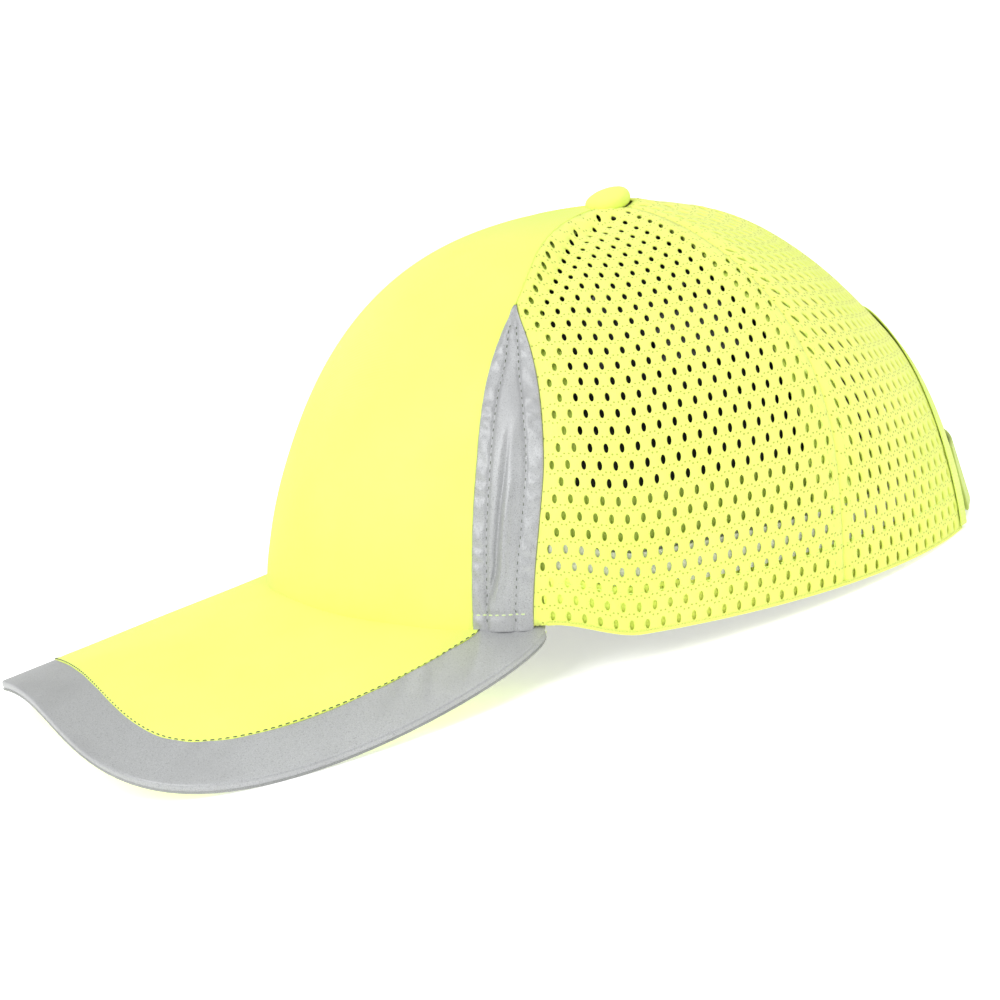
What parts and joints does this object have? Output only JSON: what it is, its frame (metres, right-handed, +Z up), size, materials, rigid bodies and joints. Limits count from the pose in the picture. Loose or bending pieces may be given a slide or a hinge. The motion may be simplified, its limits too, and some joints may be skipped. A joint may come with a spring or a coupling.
{
  "type": "bump cap",
  "caption": "Baseball-style bump cap with mesh crown panels, reflective inserts, a curved brim, a removable hard shell liner with foam pads and a hook-and-loop rear strap.",
  "frame": {"origin": "centre of the bounding box in plan, on the surface the cap rests on", "axes": "+Z up, +Y towards the wearer's back, so the brim points along -Y and the wearer's left is +X; the cap rests on its brim's side edges and rear hem, brim end tipped up about 5.0 degrees"},
  "size_m": [0.1794, 0.2846, 0.1143],
  "materials": {
    "front_fabric": "fluorescent yellow polyester, fine plain weave, matt",
    "mesh_fabric": "fluorescent yellow polyester mesh with oval holes in staggered rows",
    "reflective_fabric": "silver retroreflective fabric, fine beaded grain, soft sheen",
    "seam_tape": "fluorescent yellow woven tape",
    "edge_binding": "silver grey folded edge tape",
    "sweatband_fabric": "light grey brushed terry",
    "strap_fabric": "yellow woven webbing",
    "loop_tape": "black loop pile",
    "hook_tape": "black moulded hooks",
    "label_fabric": "blank off-white satin ribbon",
    "shell_plastic": "black moulded ABS, fine satin grain",
    "foam": "black closed-cell EVA foam",
    "board_plastic": "natural polyethylene sheet",
    "rivet_metal": "plated steel"
  },
  "bodies": {
    "cap": {"front_panel": "front_fabric", "side_panel_left": "mesh_fabric", "side_panel_right": "mesh_fabric", "rear_panel_left": "mesh_fabric", "rear_panel_right": "mesh_fabric", "reflective_insert_left": "reflective_fabric", "reflective_insert_right": "reflective_fabric", "front_seam_tape_left": "seam_tape", "front_seam_tape_right": "seam_tape", "side_seam_tape_left": "seam_tape", "side_seam_tape_right": "seam_tape", "rear_seam_tape": "seam_tape", "hem_left": "mesh_fabric", "hem_right": "mesh_fabric", "button_cap": "front_fabric", "button_rivet": "rivet_metal", "brim_board": "board_plastic", "brim_top_cover": "front_fabric", "brim_reflective_band": "reflective_fabric", "brim_under_cover": "front_fabric", "brim_edge_binding": "edge_binding", "brim_tag": "label_fabric", "sweatband": "sweatband_fabric", "size_label": "label_fabric", "opening_binding": "seam_tape", "strap_left": "strap_fabric", "strap_loop_tape": "loop_tape", "strap_right": "strap_fabric", "crown_loop_patches": "loop_tape"},
    "shell_liner": {"impact_shell": "shell_plastic", "front_foam_pad": "foam", "rear_foam_pad": "foam", "left_foam_pad": "foam", "right_foam_pad": "foam", "crown_foam_pad": "foam", "shell_hook_patches": "hook_tape"},
    "strap_end": {"strap_flap": "strap_fabric", "strap_hook_tape": "hook_tape"}
  },
  "joints": [
    {"name": "shell_lift_out", "type": "slide", "parent": "cap", "child": "shell_liner", "axis": [0, -0.0865, -0.9963], "range_m": [0, 0.135]},
    {"name": "strap_peel", "type": "hinge", "parent": "cap", "child": "strap_end", "pos_m": [-0.017, 0.13933, 0.01031], "axis": [0.0479, -0.0836, 0.9953], "range_deg": [0, 110]}
  ]
}
